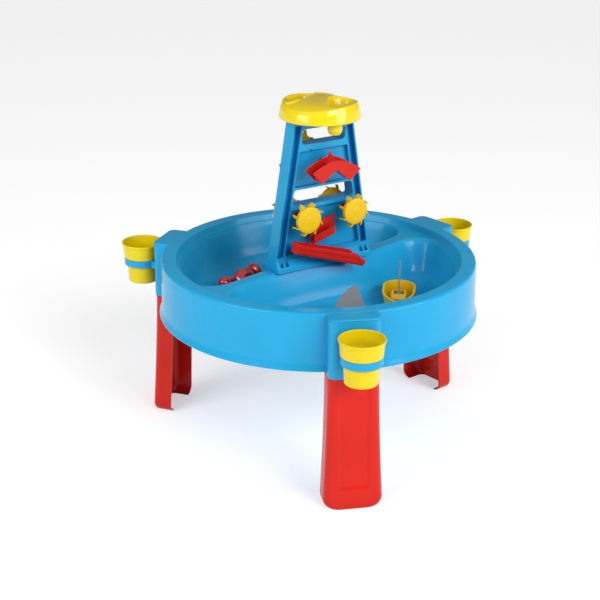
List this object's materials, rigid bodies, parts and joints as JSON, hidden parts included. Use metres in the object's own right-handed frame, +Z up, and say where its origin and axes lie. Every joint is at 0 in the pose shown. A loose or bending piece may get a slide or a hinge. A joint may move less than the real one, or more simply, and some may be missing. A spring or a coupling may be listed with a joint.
{
  "type": "sand and water table",
  "caption": "Round play table on three legs with two sunken compartments, a water tower with wheels, rockers and chutes, side cups and loose toys.",
  "frame": {"origin": "on the floor, at the centre of the footprint's bounding box; the round table's axis is 53 mm behind it (+Y)", "axes": "+Z up; -Y towards the front leg and its cup; +X to the right seen from the front"},
  "size_m": [0.7268, 0.7196, 0.6656],
  "materials": {
    "blue": "smooth moulded polypropylene, satin gloss",
    "red": "smooth moulded polypropylene, satin gloss",
    "yellow": "smooth moulded polypropylene, satin gloss",
    "grey": "smooth moulded plastic, matt",
    "steel": "zinc plated"
  },
  "bodies": {
    "table": {"table_basin": "blue", "bracket_front": "blue", "leg_front": "red", "screw_front_a": "steel", "screw_front_b": "steel", "bracket_right": "blue", "leg_right": "red", "screw_right_a": "steel", "screw_right_b": "steel", "bracket_left": "blue", "leg_left": "red", "screw_left_a": "steel", "screw_left_b": "steel", "tower_frame": "blue", "hopper": "yellow", "axle_left": "red", "axle_right": "red", "axle_rear_top": "red", "axle_tipper_front": "red", "axle_tipper_rear": "red", "chute_low_front": "red", "chute_high_front": "red", "chute_low_rear": "red", "chute_high_rear": "red"},
    "cup_front": {"cup_front": "yellow"},
    "cup_right": {"cup_right": "yellow"},
    "cup_left": {"cup_left": "yellow"},
    "wheel_front_left": {"wheel_front_left": "yellow"},
    "wheel_front_right": {"wheel_front_right": "yellow"},
    "wheel_rear_left": {"wheel_rear_left": "yellow"},
    "wheel_rear_right": {"wheel_rear_right": "yellow"},
    "wheel_rear_top": {"wheel_rear_top": "yellow"},
    "tipper_front": {"tipper_front": "red"},
    "tipper_rear": {"tipper_rear": "red"},
    "boat": {"boat_hull": "yellow", "boat_mast": "grey"},
    "sail": {"sail_blade": "grey"},
    "mould": {"sand_mould": "red"}
  },
  "joints": [
    {"name": "wheel_front_left_spin", "type": "hinge", "parent": "table", "child": "wheel_front_left", "pos_m": [-0.03379, -0.00183, 0.453], "axis": [0.3746, -0.9272, 0], "continuous": true},
    {"name": "wheel_front_right_spin", "type": "hinge", "parent": "table", "child": "wheel_front_right", "pos_m": [0.06264, 0.03713, 0.453], "axis": [0.3746, -0.9272, 0], "continuous": true},
    {"name": "wheel_rear_left_spin", "type": "hinge", "parent": "table", "child": "wheel_rear_left", "pos_m": [-0.06264, 0.06957, 0.453], "axis": [0.3746, -0.9272, 0], "continuous": true},
    {"name": "wheel_rear_right_spin", "type": "hinge", "parent": "table", "child": "wheel_rear_right", "pos_m": [0.03379, 0.10853, 0.453], "axis": [0.3746, -0.9272, 0], "continuous": true},
    {"name": "wheel_rear_top_spin", "type": "hinge", "parent": "table", "child": "wheel_rear_top", "pos_m": [-0.03514, 0.06558, 0.574], "axis": [0.3746, -0.9272, 0], "continuous": true},
    {"name": "tipper_front_rock", "type": "hinge", "parent": "table", "child": "tipper_front", "pos_m": [0.01742, 0.01024, 0.55], "axis": [0.3746, -0.9272, 0], "range_deg": [-17, 22]},
    {"name": "tipper_rear_rock", "type": "hinge", "parent": "table", "child": "tipper_rear", "pos_m": [-0.01742, 0.09646, 0.523], "axis": [0.3746, -0.9272, 0], "range_deg": [0, 40]},
    {"name": "cup_front_lift", "type": "slide", "parent": "table", "child": "cup_front", "axis": [0, 0, 1], "range_m": [0, 0.1]},
    {"name": "cup_right_lift", "type": "slide", "parent": "table", "child": "cup_right", "axis": [0, 0, 1], "range_m": [0, 0.1]},
    {"name": "cup_left_lift", "type": "slide", "parent": "table", "child": "cup_left", "axis": [0, 0, 1], "range_m": [0, 0.1]},
    {"name": "boat_lift", "type": "slide", "parent": "table", "child": "boat", "axis": [0, 0, 1], "range_m": [0, 0.12]},
    {"name": "sail_lift", "type": "slide", "parent": "table", "child": "sail", "axis": [0, 0, 1], "range_m": [0, 0.12]},
    {"name": "mould_lift", "type": "slide", "parent": "table", "child": "mould", "axis": [0, 0, 1], "range_m": [0, 0.12]}
  ]
}
